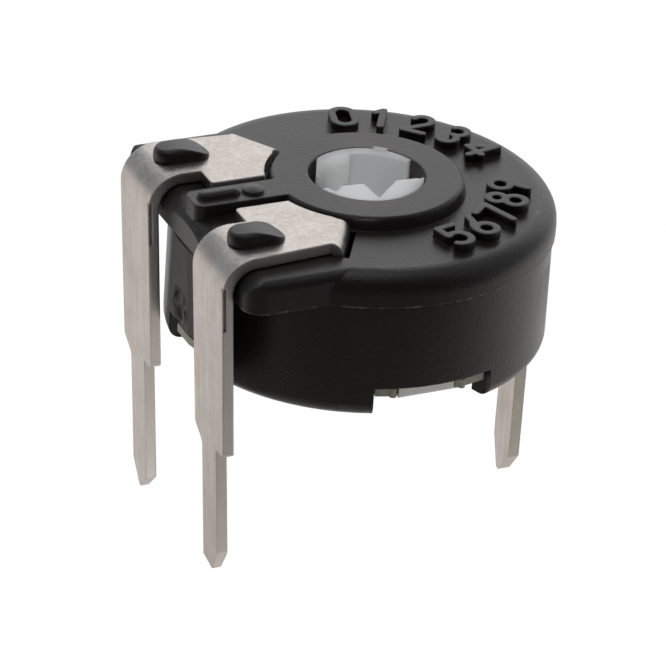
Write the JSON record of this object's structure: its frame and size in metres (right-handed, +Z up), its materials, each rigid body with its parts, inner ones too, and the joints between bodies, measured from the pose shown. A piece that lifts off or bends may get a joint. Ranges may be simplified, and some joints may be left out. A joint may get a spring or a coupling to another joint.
{
  "type": "trimmer potentiometer",
  "caption": "Single-turn carbon trimmer potentiometer: round black body lying flat on vertical pins, end terminals folded over a square head, milky rotor with a screwdriver recess.",
  "frame": {"origin": "on the rotor axis, in the plane of the terminal shoulders, which is the top of the circuit board", "axes": "+Z up the rotor axis, -X towards the end terminals, +X towards the wiper terminal, -Y the side notch that the picture shows"},
  "size_m": [0.0107, 0.0104, 0.0105],
  "materials": {
    "black_moulding": "satin black thermoplastic",
    "milky_moulding": "milky white thermoplastic",
    "spring_metal": "sprung bronze",
    "phenolic_paper": "tan paper laminate",
    "carbon_ink": "matt carbon print",
    "silver_ink": "matt silver print",
    "tinned_strip": "dull tin plate"
  },
  "bodies": {
    "fixed": {"housing": "black_moulding", "base_plate": "phenolic_paper", "carbon_track": "carbon_ink", "front_end_pad": "silver_ink", "back_end_pad": "silver_ink", "front_terminal": "tinned_strip", "back_terminal": "tinned_strip", "wiper_terminal": "tinned_strip"},
    "turning": {"rotor": "milky_moulding", "wiper_spring": "spring_metal"}
  },
  "joints": [
    {"name": "rotor_turn", "type": "hinge", "parent": "fixed", "child": "turning", "pos_m": [0, 0, 0], "axis": [0, 0, 1], "range_deg": [-117.5, 117.5]}
  ]
}
